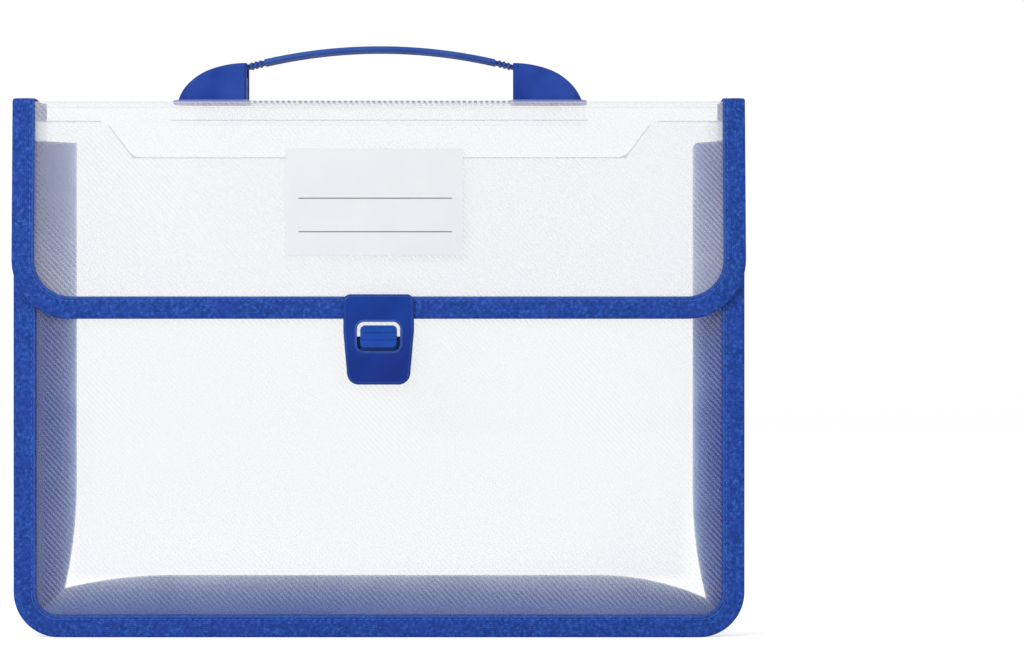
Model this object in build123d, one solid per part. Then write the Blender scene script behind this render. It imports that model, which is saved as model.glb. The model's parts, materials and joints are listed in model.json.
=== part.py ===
from build123d import *
import os
from math import hypot, sqrt

# A clear plastic document carry case with woven blue edging, standing upright.
# X runs across the front, Y points to the back and Z points up. The origin is on the
# ground, in the middle of the case's bounding box. All sizes are in millimetres.

# Case body
case_width = 370.0
case_height = 271.0
case_depth = 38.0
corner_radius = 23.0
sheet = 0.7
film = 0.5
tape = 0.6
tape_width = 11.3
front_drop = 9.6
scoop_depth = 18.4
scoop_shoulder = 46.8
scoop_slope = 13.7
scoop_round = 9.0

# Bellows at the sides and the bottom
left_reach = 29.5
left_corner_reach = 23.5
left_top_round = 0.8
right_reach = 25.2
right_corner_reach = 18.5
right_top_round = 3.0
bottom_reach = 30.1
fold_blend = 54.0
fold_margin = 0.4
fold_spans = 5
gusset_drop = 19.7

# Creases
crease_gap = 0.1
tape_setback = 1.1
flap_standoff = 2.6

# Flap
flap_length = 109.8
flap_flare = 1.0
flap_radius = 30.0

# Label pocket and its card
pocket_width = 96.6
pocket_height = 60.7
pocket_drop = 20.5
pocket_offset = -2.3
pocket_weld = 3.0
pocket_film = 0.2
card_thickness = 0.3
card_play = 0.4
card_gap = 0.1

# Handle
handle_gap = 135.6
cap_length = 35.2
cap_height = 18.9
cap_depth = 21.0
cap_edge = 1.2
cap_nose_round = 8.0
cap_bend_along = 18.2
cap_bend_height = 15.7
base_margin = 2.5
base_width = 25.0
base_thickness = 1.5
strap_width = 17.0
strap_thickness = 2.6
strap_rise = 8.9
strap_below_cap_top = 1.6
strap_edge = 0.7
neck_width = 11.5
neck_thickness = 1.8
neck_length = 9.0
neck_ribs = 3
rib_thickness = 2.6
rib_length = 1.2
rib_overhang = 1.0
head_length = 4.0
head_height = 4.8
cap_wall = 5.0
handle_play = 0.3
stiffener_wall = 1.2
stiffener_lip = 9.0
rivet_radius = 2.0
rivet_head_radius = 4.0
rivet_head = 1.2
rivet_depth = 5.0
rivet_play = 0.05
rivet_from_face = 21.0

# Clasp plate on the flap
clasp_width = 35.6
clasp_low_width = 30.9
clasp_overlap = 12.4
clasp_drop = 33.2
clasp_straight = 18.6
clasp_top_round = 3.5
clasp_low_round = 6.0
clasp_front_wall = 2.2
clasp_skirt = 1.4
clasp_edge = 0.9
clasp_standoff = 0.9
window_width = 21.8
window_height = 14.7
window_drop = 8.9
window_round = 3.6
rim_width = 0.8
rim_height = 0.5
boss_radius = 1.5
boss_spacing = 22.0
backing_width = 32.0
backing_height = 10.4
backing_corner = 1.5

# Catch on the front panel
button_width = 18.4
button_height = 11.25
button_proud = 1.1
button_round = 2.4
button_ridge = 0.5
button_ridges = 3
button_wall = 1.6
lip_reach = 1.65
lip_overlap = 1.0
lip_thickness = 1.2
ledge_height = 5.2
ledge_thickness = 1.0
button_travel = 1.25
catch_width = 26.4
catch_height = 22.0
catch_thickness = 0.8
catch_round = 1.8
catch_play = 0.1
latch_play = 0.3
rail_wall = 1.0
rail_end = 0.7
wing_width = 24.0
wing_thickness = 0.9
post_width = 6.0
post_height = 1.2
catch_rivet_radius = 1.5
catch_rivet_head_radius = 2.6
catch_rivet_head = 0.8
catch_rivet_spacing = 15.0
catch_rivet_rise = 5.0
catch_backing = 1.0
spring_wire = 0.36
spring_radius = 1.2
spring_turns = 3
spring_sides = 4

# Places that follow from the sizes
base_length = handle_gap + 2 * (cap_length + base_margin)
half_width = case_width / 2
half_depth = case_depth / 2
crease_z = case_height - sheet / 2
rear_crease_y = half_depth - sheet / 2
flap_inner_y = -half_depth - flap_standoff
flap_outer_y = flap_inner_y - sheet
front_crease_y = flap_inner_y - sheet / 2
flap_low = case_height - flap_length
front_top = case_height - front_drop
front_stack = (-half_depth, -half_depth + sheet + film)
rear_stack = (half_depth - sheet - film, half_depth)
handle_y = (rear_crease_y + front_crease_y) / 2
cap_floor = case_height + base_thickness
clasp_top = flap_low + clasp_overlap
clasp_low = flap_low - clasp_drop
clasp_back_y = flap_outer_y - tape
clasp_front_y = clasp_back_y - clasp_front_wall
window_z = flap_low - window_drop
button_low = window_z - button_height / 2
ledge_top = button_low - lip_reach + lip_overlap
catch_top = window_z
catch_front_y = -half_depth - catch_thickness
button_front_y = clasp_front_y - button_proud
middle_y = (abs(button_front_y) - (half_depth + tape)) / 2
strap_radius = ((handle_gap / 2) ** 2 + strap_rise ** 2) / (2 * strap_rise)
strap_end_z = cap_floor + cap_height - strap_below_cap_top
strap_centre_z = strap_end_z + strap_rise - strap_radius


def slab(face, y_front, y_back):
    """A plate whose outline is drawn in X and Z, between two depths."""
    return extrude(Plane.XZ.offset(-y_back) * face, amount=y_back - y_front)


def block(x_range, y_range, z_range):
    """A rectangular block between three pairs of limits."""
    size = [high - low for low, high in (x_range, y_range, z_range)]
    middle = [(high + low) / 2 for low, high in (x_range, y_range, z_range)]
    return Pos(*middle) * Box(*size)


def upright_pin(x, y, z_low, z_high, radius):
    return Pos(x, y, (z_low + z_high) / 2) * Cylinder(radius, z_high - z_low)


def level_pin(x, z, y_front, y_back, radius):
    return Pos(x, (y_front + y_back) / 2, z) * Rot(X=90) * Cylinder(radius, y_back - y_front)


def cut_corners(width, height):
    """A backing plate's outline, a rectangle with its corners cut off."""
    outline = Rectangle(width, height)
    return chamfer(outline.vertices(), backing_corner)


def both_sides(piece):
    return piece + mirror(piece, about=Plane.YZ)


def rounded_sheet(top_half, low_half, low, top, radius, inset=0.0):
    """A sheet outline with round bottom corners, drawn inset from its sides and bottom."""
    outline = make_face(
        Polyline(
            (-low_half + inset, low + inset),
            (low_half - inset, low + inset),
            (top_half - inset, top),
            (-top_half + inset, top),
            close=True,
        )
    )
    low_corners = outline.vertices().sort_by(Axis.Y)[:2]
    return fillet(low_corners, max(radius - inset, tape))


def body_outline(inset, top):
    return rounded_sheet(half_width, half_width, 0.0, top, corner_radius, inset)


def flap_outline(inset, top):
    """The flap's outline, which widens evenly from the front crease to its lower edge."""
    low_half = half_width + flap_flare
    top_half = half_width + flap_flare * (crease_z - top) / (crease_z - flap_low)
    low_inset_half = low_half - flap_flare * inset / (crease_z - flap_low)
    return rounded_sheet(top_half, low_inset_half, flap_low, top, flap_radius, inset)


def body_tape(stack, shown_side, top):
    """Tape round three edges of a body panel. Its leg inside the case has square corners."""
    near, far = stack
    legs = {-1: (near - tape, near), 1: (far, far + tape)}
    shown = slab(body_outline(0, top) - body_outline(tape_width, top), *legs[shown_side])
    fold = slab(body_outline(0, top) - body_outline(tape, top), near, far)
    inside_half = half_width - tape_width
    square = make_face(
        Polyline(
            (-inside_half, tape_width),
            (inside_half, tape_width),
            (inside_half, top),
            (-inside_half, top),
            close=True,
        )
    )
    hidden = slab(body_outline(0, top) - square, *legs[-shown_side])
    return shown + fold + hidden


def make_back_panel():
    top = crease_z - sheet / 2 - crease_gap
    return slab(body_outline(tape, top), half_depth - sheet, half_depth)


def make_front_panel():
    """The front sheet, with a finger scoop between two shoulders."""
    shoulder = half_width - scoop_shoulder
    floor = shoulder - scoop_slope
    low = front_top - scoop_depth
    points = [(-shoulder, front_top), (-floor, low), (floor, low), (shoulder, front_top)]
    scoop = make_face(Polyline(*points, close=True))
    outline = body_outline(tape, front_top) - scoop
    top_points = outline.vertices().group_by(Axis.Y)[-1].sort_by(Axis.X)[1:-1]
    floor_points = outline.vertices().filter_by(lambda v: abs(v.Y - low) < 0.01)
    outline = fillet(top_points + floor_points, scoop_round)
    return slab(outline, -half_depth, -half_depth + sheet)


def bellows_section(reach, along):
    """The V of the left bellows: two flanges that lie on the sheets, and two leaves."""
    outer = half_depth - sheet
    inner = outer - film
    crease = tape_width + fold_margin
    run = reach - crease
    slant = hypot(run, outer)
    step = (film - film * run / slant) * slant / outer
    inner_crease = crease - film * outer / slant + step * run / slant
    inner_reach = reach - film * slant / outer
    points = [
        (tape, -outer),
        (crease, -outer),
        (reach, 0),
        (crease, outer),
        (tape, outer),
        (tape, inner),
        (inner_crease, inner),
        (inner_reach, 0),
        (inner_crease, -inner),
        (tape, -inner),
    ]
    return Pos(-half_width, 0, along) * make_face(Polyline(*points, close=True))


def bellows_run(reach, corner_reach, length):
    """The left bellows from the case's bottom corner up, its fold drawn in near the corner."""
    sections = [bellows_section(corner_reach, 0)]
    for i in range(fold_spans + 1):
        share = 1 - i / fold_spans
        reach_here = reach - (reach - corner_reach) * share ** 2
        sections.append(bellows_section(reach_here, corner_reach + fold_blend * (1 - share)))
    blend_end = corner_reach + fold_blend
    straight = extrude(bellows_section(reach, blend_end), amount=length - blend_end)
    return loft(sections, ruled=True) + straight


def mitre_plane():
    """The plane through the lower left edge where a side bellows meets the bottom one."""
    return Plane(origin=(-half_width, 0, 0), z_dir=(-1, 0, 1))


def make_side_gusset(reach, corner_reach, top_round):
    """The left side's bellows, with the fold's top corner rounded."""
    top = case_height - gusset_drop
    run = split(bellows_run(reach, corner_reach, top), bisect_by=mitre_plane(), keep=Keep.TOP)
    fold_x = reach - half_width
    corner = Pos(fold_x - top_round / 2, top - top_round / 2) * Rectangle(top_round, top_round)
    corner -= Pos(fold_x - top_round, top - top_round) * Circle(top_round)
    trim = body_outline(tape, top) - corner
    return run & slab(trim, -half_depth, half_depth)


def bottom_bellows_half(corner_reach):
    """The bottom bellows from the left corner to the middle."""
    run = mirror(bellows_run(bottom_reach, corner_reach, half_width), about=mitre_plane())
    return split(run, bisect_by=mitre_plane(), keep=Keep.BOTTOM)


def make_gusset_bottom():
    left = bottom_bellows_half(left_corner_reach)
    right = mirror(bottom_bellows_half(right_corner_reach), about=Plane.YZ)
    trim = body_outline(tape, case_height)
    return (left + right) & slab(trim, -half_depth, half_depth)


def make_top_panel():
    """The sheet between the creases, with a round bead on the rear crease's axis."""
    side = half_width - tape
    front_edge = front_crease_y + sheet / 2 + crease_gap
    plate = block((-side, side), (front_edge, rear_crease_y), (case_height - sheet, case_height))
    bead = Pos(0, rear_crease_y, crease_z) * Rot(Y=90) * Cylinder(sheet / 2, 2 * side)
    return plate + bead - handle_rivet_holes()


def make_top_binding_right():
    y_range = (front_crease_y + tape_setback, rear_crease_y - tape_setback)
    outer = block(
        (half_width - tape_width, half_width), y_range, (case_height - sheet - tape, case_height + tape)
    )
    inner = block((0, half_width - tape), y_range, (case_height - sheet, case_height))
    return outer - inner


def make_flap_panel():
    """The flap's sheet, with a round bead on the front crease's axis."""
    plate = slab(flap_outline(tape, crease_z), flap_outer_y, flap_inner_y)
    side = half_width - tape
    bead = Pos(0, front_crease_y, crease_z) * Rot(Y=90) * Cylinder(sheet / 2, 2 * side)
    return plate + bead - boss_holes()


def make_flap_binding():
    top = crease_z - tape_setback
    band = flap_outline(0, top) - flap_outline(tape_width, top)
    legs = slab(band, flap_outer_y - tape, flap_inner_y + tape)
    return legs - slab(flap_outline(tape, top), flap_outer_y, flap_inner_y) - boss_holes()


def pocket_limits():
    left = pocket_offset - pocket_width / 2
    top = case_height - pocket_drop
    return left, left + pocket_width, top - pocket_height, top


def make_label_pocket():
    """A film window on the flap, welded down on three sides and open on the right."""
    left, right, low, top = pocket_limits()
    inside_y = flap_outer_y - card_gap - card_thickness - card_gap
    outside_y = inside_y - pocket_film
    whole = block((left, right), (outside_y, flap_outer_y), (low, top))
    space_z = (low + pocket_weld, top - pocket_weld)
    space = block((left + pocket_weld, right), (inside_y, flap_outer_y), space_z)
    return whole - space


def make_label_card():
    left, right, low, top = pocket_limits()
    margin = pocket_weld + card_play
    back_y = flap_outer_y - card_gap
    card_y = (back_y - card_thickness, back_y)
    return block((left + margin, right - margin), card_y, (low + margin, top - margin))


def handle_rivet_places():
    """One rivet holds each cap. The base's block in the cap's slot keeps it from turning."""
    x = handle_gap / 2 + rivet_from_face
    return [(-x, handle_y), (x, handle_y)]


def handle_rivet_holes():
    low = case_height - sheet - stiffener_wall
    high = cap_floor + rivet_depth
    holes = Part()
    for x, y in handle_rivet_places():
        holes += upright_pin(x, y, low - rivet_head, high, rivet_radius + rivet_play)
    return holes


def make_handle_rivets():
    head_top = case_height - sheet - stiffener_wall
    rivets = Part()
    for x, y in handle_rivet_places():
        rivets += upright_pin(x, y, head_top - rivet_head, head_top, rivet_head_radius)
        rivets += upright_pin(x, y, head_top, cap_floor + rivet_depth - rivet_play, rivet_radius)
    return rivets


def make_handle_stiffener():
    """A clear channel that spreads the handle's load under the top panel."""
    half = base_length / 2
    top = case_height - sheet
    front = flap_inner_y + handle_play
    rear = half_depth - sheet - handle_play
    outer = block((-half, half), (front, rear), (top - stiffener_lip, top))
    inner_y = (front + stiffener_wall, rear - stiffener_wall)
    inner = block((-half, half), inner_y, (top - stiffener_lip, top - stiffener_wall))
    return outer - inner - handle_rivet_holes()


def strap_line_z(x):
    """Height of the strap's middle line, at that distance from the handle's middle."""
    return strap_centre_z + sqrt(strap_radius ** 2 - x ** 2)


def strap_band(thickness, width, x_from, x_to):
    """Part of the bowed strap, between two distances along X."""
    centre = Pos(0, strap_centre_z)
    ring = centre * (Circle(strap_radius + thickness / 2) - Circle(strap_radius - thickness / 2))
    z_from = strap_end_z - strap_rise
    z_to = strap_end_z + 2 * strap_rise
    window = Pos((x_from + x_to) / 2, (z_from + z_to) / 2) * Rectangle(x_to - x_from, z_to - z_from)
    return slab(ring & window, handle_y - width / 2, handle_y + width / 2)


def head_limits():
    start = handle_gap / 2 + cap_wall
    return start, start + head_length


def make_handle_strap():
    """The grip, with a ribbed neck and a T head at each end."""
    neck_start = handle_gap / 2 - neck_length
    grip = strap_band(strap_thickness, strap_width, -neck_start, neck_start)
    long_edges = grip.edges().filter_by(GeomType.CIRCLE).sort_by(SortBy.LENGTH)[-4:]
    grip = chamfer(long_edges, strap_edge)
    head_start, head_end = head_limits()
    side = strap_band(neck_thickness, neck_width, neck_start, head_end)
    pitch = neck_length / (neck_ribs + 1)
    for i in range(neck_ribs):
        middle = neck_start + pitch * (i + 1)
        rib_x = (middle - rib_length / 2, middle + rib_length / 2)
        side += strap_band(rib_thickness, neck_width + 2 * rib_overhang, *rib_x)
    head_z = strap_line_z((head_start + head_end) / 2)
    side += block(
        (head_start, head_end),
        (handle_y - strap_width / 2, handle_y + strap_width / 2),
        (head_z - head_height / 2, head_z + head_height / 2),
    )
    return grip + both_sides(side)


def neck_space(x_from, x_to, width, top):
    half = width / 2 + handle_play
    return block((x_from, x_to), (handle_y - half, handle_y + half), (cap_floor, top + handle_play))


def make_handle_cap_right():
    """A cap with a sloping back. The strap's T head is trapped in its pocket from below."""
    face_x = handle_gap / 2
    bend = (cap_bend_along, cap_bend_height)
    crown = TangentArc((0, cap_height), bend, tangent=(1, 0))
    back = TangentArc(bend, (cap_length, 0), tangent=crown % 1)
    side = make_face([crown, back, Polyline((cap_length, 0), (0, 0), (0, cap_height))])
    body = slab(side, -cap_depth / 2, cap_depth / 2)
    shown_edges = body.edges().filter_by(GeomType.CIRCLE) + body.edges().filter_by(Axis.Z)
    body = chamfer(shown_edges, cap_edge)
    plan = Pos(cap_length / 2, 0) * Rectangle(cap_length, cap_depth)
    plan = fillet(plan.vertices().sort_by(Axis.X)[-2:], cap_nose_round)
    body = body & extrude(plan, amount=cap_height)
    body = Pos(face_x, handle_y, cap_floor) * body
    head_start, head_end = head_limits()
    neck_top = strap_line_z(face_x) + neck_thickness / 2
    head_top = strap_line_z((head_start + head_end) / 2) + head_height / 2
    slot = neck_space(face_x, head_start, neck_width, neck_top)
    pocket = neck_space(head_start - handle_play, head_end + handle_play, strap_width, head_top)
    return body - slot - pocket - handle_rivet_holes()


def make_handle_base():
    """The strip under the caps, with a block in each cap's slot that holds the neck up."""
    plan = Pos(0, handle_y) * RectangleRounded(base_length, base_width, cap_nose_round)
    strip = Pos(0, 0, case_height) * extrude(plan, amount=base_thickness)
    head_start, head_end = head_limits()
    block_top = strap_line_z(head_end) - head_height / 2 - handle_play
    half = neck_width / 2
    support = block(
        (handle_gap / 2 + handle_play, head_end - handle_play),
        (handle_y - half, handle_y + half),
        (cap_floor, block_top),
    )
    return strip + both_sides(support) - handle_rivet_holes()


def clasp_outline(inset=0.0):
    """The plate's shield shape: straight sides, then a taper to a rounded foot."""
    half = clasp_width / 2 - inset
    low_half = clasp_low_width / 2 - inset
    bend = clasp_top - clasp_straight
    outline = make_face(
        Polyline(
            (-low_half, clasp_low + inset),
            (low_half, clasp_low + inset),
            (half, bend),
            (half, clasp_top - inset),
            (-half, clasp_top - inset),
            (-half, bend),
            close=True,
        )
    )
    low_corners = outline.vertices().sort_by(Axis.Y)[:2]
    outline = fillet(low_corners, max(clasp_low_round - inset, tape))
    top_corners = outline.vertices().sort_by(Axis.Y)[-2:]
    return fillet(top_corners, max(clasp_top_round - inset, tape))


def window_outline(growth=0.0):
    size = (window_width + 2 * growth, window_height + 2 * growth)
    return Pos(0, window_z) * RectangleRounded(*size, window_round + growth)


def boss_places():
    z = flap_low + tape_width / 2
    return [(-boss_spacing / 2, z), (boss_spacing / 2, z)]


def boss_holes():
    holes = Part()
    for x, z in boss_places():
        holes += level_pin(x, z, clasp_back_y, flap_inner_y + tape + flap_standoff, boss_radius + rivet_play)
    return holes


def make_clasp_plate():
    """The plate on the flap: a front wall, a skirt below the flap, and the latch's ledge."""
    front_wall = slab(clasp_outline(), clasp_front_y, clasp_back_y)
    front_edges = front_wall.faces().sort_by(Axis.Y)[0].edges()
    front_wall = chamfer(front_edges, clasp_edge)
    below_flap = flap_low - latch_play
    hanging = Pos(0, (clasp_low + below_flap) / 2) * Rectangle(clasp_width, below_flap - clasp_low)
    skirt_back_y = -half_depth - clasp_standoff
    skirt = slab((clasp_outline() - clasp_outline(clasp_skirt)) & hanging, clasp_back_y, skirt_back_y)
    ledge_band = Pos(0, ledge_top - ledge_height / 2) * Rectangle(clasp_width, ledge_height)
    ledge_back_y = catch_front_y - latch_play
    ledge = slab(clasp_outline(clasp_edge) & ledge_band, ledge_back_y - ledge_thickness, ledge_back_y)
    rim = slab(window_outline(rim_width), clasp_front_y - rim_height, clasp_front_y)
    plate = front_wall + skirt + ledge + rim
    plate -= slab(window_outline(), clasp_front_y - rim_height, clasp_back_y)
    for x, z in boss_places():
        plate += level_pin(x, z, clasp_back_y, flap_inner_y + tape + clasp_backing_thickness(), boss_radius)
    return plate


def clasp_backing_thickness():
    return flap_standoff - tape - clasp_standoff


def make_clasp_backing_plate():
    middle_z = flap_low + tape_width / 2
    outline = Pos(0, middle_z) * cut_corners(backing_width, backing_height)
    front_y = flap_inner_y + tape
    plate = slab(outline, front_y, front_y + clasp_backing_thickness())
    return plate - boss_holes()


def catch_rivet_places():
    z = catch_top - catch_height + catch_rivet_rise
    return [(-catch_rivet_spacing / 2, z), (catch_rivet_spacing / 2, z)]


def catch_rivet_holes():
    holes = Part()
    for x, z in catch_rivet_places():
        holes += level_pin(
            x, z, catch_front_y, -half_depth + sheet + catch_backing, catch_rivet_radius + rivet_play
        )
    return holes


def make_catch_rivets():
    back_y = -half_depth + sheet + catch_backing
    rivets = Part()
    for x, z in catch_rivet_places():
        rivets += level_pin(x, z, catch_front_y - catch_rivet_head, catch_front_y, catch_rivet_head_radius)
        rivets += level_pin(x, z, catch_front_y, back_y, catch_rivet_radius)
        rivets += level_pin(x, z, back_y, back_y + catch_rivet_head, catch_rivet_head_radius)
    return rivets


def make_catch_backing_plate():
    outline = Pos(0, catch_top - catch_height / 2) * cut_corners(catch_width, catch_height)
    plate = slab(outline, -half_depth + sheet, -half_depth + sheet + catch_backing)
    return plate - catch_rivet_holes()


def hollow_limits():
    """The hollow in the button's back, which holds the spring and the base's post."""
    half = button_width / 2 - button_wall
    low = button_low + button_wall
    high = button_low + button_height - button_wall / 2
    return half, low, high


def post_limits():
    """The base's post stands in the button's hollow, above the spring."""
    half, low, high = hollow_limits()
    top = high - button_wall
    return top - post_height, top


def groove_limits():
    """The grooves in the rails, closed at both ends, which stop the button's travel."""
    return ledge_top + latch_play + rail_end, catch_top - rail_end


def make_catch_base():
    """The plate on the front panel, with two rails and the spring's post."""
    middle_z = catch_top - catch_height / 2
    outline = Pos(0, middle_z) * RectangleRounded(catch_width, catch_height, catch_round)
    plate = slab(outline, catch_front_y, -half_depth)
    groove_low, groove_top = groove_limits()
    groove_front_y = catch_front_y - wing_thickness - 2 * catch_play
    rail_front_y = groove_front_y - rail_wall
    rail_z = (groove_low - rail_end, groove_top + rail_end)
    rail = block((button_width / 2 + rail_wall, catch_width / 2), (rail_front_y, catch_front_y), rail_z)
    groove_x = (0, wing_width / 2 + catch_play)
    groove = block(groove_x, (groove_front_y, catch_front_y), (groove_low, groove_top))
    post_low, post_top = post_limits()
    post_x = (-post_width / 2, post_width / 2)
    post = block(post_x, (rail_front_y, -half_depth), (post_low, post_top))
    stem = block(post_x, (catch_front_y, -half_depth), (middle_z, post_top))
    return plate + both_sides(rail - groove) + post + stem - catch_rivet_holes()


def make_catch_button():
    """The ridged button, its sliding wings, and the lip that hooks over the clasp's ledge."""
    back_y = catch_front_y - catch_play
    middle_z = button_low + button_height / 2
    outline = Pos(0, middle_z) * RectangleRounded(button_width, button_height, button_round)
    body = slab(outline, button_front_y, back_y)
    front_edges = body.faces().sort_by(Axis.Y)[0].edges()
    body = chamfer(front_edges, button_ridge)
    for i in range(1, button_ridges):
        groove_z = button_low + button_height * i / button_ridges
        body -= Pos(0, button_front_y, groove_z) * Rot(Y=90) * Cylinder(button_ridge, button_width)
    half, low, high = hollow_limits()
    hollow_front_y = button_front_y + button_wall
    body -= block((-half, half), (hollow_front_y, back_y), (low, high))
    ledge_front_y = catch_front_y - latch_play - ledge_thickness
    lip_back_y = ledge_front_y - latch_play
    lip = block(
        (-button_width / 2, button_width / 2),
        (lip_back_y - lip_thickness, lip_back_y),
        (button_low - lip_reach, button_low + button_wall),
    )
    groove_low, groove_top = groove_limits()
    wings = block(
        (-wing_width / 2, wing_width / 2),
        (back_y - wing_thickness, back_y),
        (groove_low + catch_play, groove_top - catch_play - button_travel),
    )
    wings -= block((-half, half), (back_y - wing_thickness, back_y), (low, high))
    return body + lip + wings


def spring_limits():
    half, low, high = hollow_limits()
    post_low, post_top = post_limits()
    return low + catch_play, post_low - catch_play


def make_catch_spring():
    """A small coil between the floor of the button's hollow and the base's post."""
    low, high = spring_limits()
    rise = high - low - spring_wire
    axis_y = (button_front_y + button_wall + catch_front_y) / 2
    path = Helix(pitch=rise / spring_turns, height=rise, radius=spring_radius)
    section = Plane(origin=path @ 0, z_dir=path % 0) * RegularPolygon(spring_wire / 2, spring_sides)
    coil = sweep(section, path=path)
    return Pos(0, axis_y, low + spring_wire / 2) * coil


def make_parts():
    top_right = make_top_binding_right()
    cap_right = make_handle_cap_right()
    gusset_right = make_side_gusset(right_reach, right_corner_reach, right_top_round)
    rear_tape_top = crease_z - tape_setback
    return {
        "back_panel": make_back_panel(),
        "front_panel": make_front_panel() - catch_rivet_holes(),
        "gusset_left": make_side_gusset(left_reach, left_corner_reach, left_top_round),
        "gusset_right": mirror(gusset_right, about=Plane.YZ),
        "gusset_bottom": make_gusset_bottom(),
        "front_binding": body_tape(front_stack, -1, front_top),
        "rear_binding": body_tape(rear_stack, 1, rear_tape_top),
        "catch_base": make_catch_base(),
        "catch_backing_plate": make_catch_backing_plate(),
        "catch_rivets": make_catch_rivets(),
        "catch_button": make_catch_button(),
        "catch_spring": make_catch_spring(),
        "top_panel": make_top_panel(),
        "top_binding_left": mirror(top_right, about=Plane.YZ),
        "top_binding_right": top_right,
        "handle_base": make_handle_base(),
        "handle_cap_left": mirror(cap_right, about=Plane.YZ),
        "handle_cap_right": cap_right,
        "handle_strap": make_handle_strap(),
        "handle_stiffener": make_handle_stiffener(),
        "handle_rivets": make_handle_rivets(),
        "flap_panel": make_flap_panel(),
        "flap_binding": make_flap_binding(),
        "clasp_plate": make_clasp_plate(),
        "clasp_backing_plate": make_clasp_backing_plate(),
        "label_pocket": make_label_pocket(),
        "label_card": make_label_card(),
    }


os.makedirs("parts", exist_ok=True)
for name, piece in make_parts().items():
    export_step(Pos(0, middle_y, 0) * piece, f"parts/{name}.step")
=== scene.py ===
import json
import math
import random

import bpy
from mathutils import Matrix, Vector

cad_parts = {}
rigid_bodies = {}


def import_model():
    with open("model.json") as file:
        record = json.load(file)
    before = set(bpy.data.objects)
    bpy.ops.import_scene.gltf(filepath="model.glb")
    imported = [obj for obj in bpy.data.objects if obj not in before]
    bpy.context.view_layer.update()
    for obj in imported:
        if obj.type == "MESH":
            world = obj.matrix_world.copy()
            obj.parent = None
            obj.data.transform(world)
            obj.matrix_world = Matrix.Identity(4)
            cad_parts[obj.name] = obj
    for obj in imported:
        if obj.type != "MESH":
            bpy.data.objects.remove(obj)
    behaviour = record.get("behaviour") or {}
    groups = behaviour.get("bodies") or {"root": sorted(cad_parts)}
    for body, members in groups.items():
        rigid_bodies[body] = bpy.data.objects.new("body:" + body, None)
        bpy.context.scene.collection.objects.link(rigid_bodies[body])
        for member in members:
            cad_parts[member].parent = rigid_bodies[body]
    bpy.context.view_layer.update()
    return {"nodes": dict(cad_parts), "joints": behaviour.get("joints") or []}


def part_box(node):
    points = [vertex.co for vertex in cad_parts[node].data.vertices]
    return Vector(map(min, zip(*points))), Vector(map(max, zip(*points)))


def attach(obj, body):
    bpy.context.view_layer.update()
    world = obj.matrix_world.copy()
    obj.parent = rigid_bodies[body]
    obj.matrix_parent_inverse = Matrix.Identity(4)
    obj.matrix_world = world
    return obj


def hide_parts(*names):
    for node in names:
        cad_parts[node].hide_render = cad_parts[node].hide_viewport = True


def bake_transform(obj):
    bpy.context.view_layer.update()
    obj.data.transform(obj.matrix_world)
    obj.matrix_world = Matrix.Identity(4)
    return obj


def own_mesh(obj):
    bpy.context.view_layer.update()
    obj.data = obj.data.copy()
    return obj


# The document case in its finish: woven edging, ribbed sheets, bellows film and moulded fittings.
# Every length is in metres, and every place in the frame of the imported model.

mm = 0.001

# Edging tape, sewn round the sheets, and half of what it holds: one sheet, or a sheet with its film
tape_width = 11.3 * mm
tape_body = 0.60 * mm
tape_clear = 0.03 * mm
tape_step = 1.6 * mm
sheet_half = 0.35 * mm
stack_half = 0.60 * mm
groove_height = 0.44 * mm
pucker = 0.10 * mm

# Where the tape turns: the panels' lower corners, and the creases on to the lid
body_corner = 23.0 * mm
flap_corner = 30.0 * mm
corner_steps = 6
crease_setback = 1.1 * mm
crease_lift = 1.1 * mm
crease_steps = 6
lid_tape_end = 2.0 * mm
tape_end_gap = 0.1 * mm

# Stitches in the tape
stitch_pitch = 3.2 * mm
stitch_length = 2.5 * mm
stitch_radius = 0.21 * mm
stitch_from_edge = 9.15 * mm
stitch_rise = 0.50 * mm
stitch_slant = 0.10
stitch_wander = 0.05
stitch_sag = 0.18 * mm
stitch_taper = 0.35
stitch_rings = 5
stitch_sides = 6

# Ribs in the clear sheets, and threads in the tape
rib_pitch = 2.10 * mm
rib_slope = math.radians(47.0)
flap_rib_pitch = 2.08 * mm
flap_rib_slope = math.radians(46.35)
flap_rib_start = -0.79 * mm
rib_wander = 0.25 * mm
thread_pitch = 0.62 * mm
row_pitch = 0.95 * mm
twist_pitch = 0.4 * mm
selvage_from_hem = 1.0 * mm
selvage_band = (0.2 * mm, 0.8 * mm)

# Clear pieces: what comes through them, and how much their cut edges and painted shade lines cover
sheet_tint = (253.0, 253.2, 253.3)
# Clear colour where painted shade greys the front sheet near the bellows
painted_shade_tint = (246.0, 246.6, 247.1)
edge_cover = 0.6
thin_edge_cover = 0.35
line_cover = 0.3
light_through_shadow = 0.7
film_ior = 1.49

# Moulded plastic, and its roughness from its shiny to its smeared places
moulded_ior = 1.5
glossy = (0.16, 0.28)
satin = (0.3, 0.45)
matt = (0.4, 0.55)

# The front sheet: its scoop, its flat strips by the seams, its milky corners, and where painted shade greys
# it
scoop_shoulder_x = 138.2 * mm
scoop_floor_x = 124.5 * mm
scoop_depth = 18.4 * mm
# Width of the painted shade line along the front sheet's cut top
scoop_line_width = (0.3 * mm, 1.0 * mm)
flat_side = 6.0 * mm
flat_foot = 8.0 * mm
flat_level = 0.42
milky_x = (164 * mm, 168 * mm)
milky_rise = 1.0 * mm
# Where painted shade greys the front sheet: down its clear middle, ending at the bottom bellows' fold
grey_z = (97 * mm, 33 * mm)
grey_foot_z = (28 * mm, 33 * mm)
grey_x = (150 * mm, 160 * mm)
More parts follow.
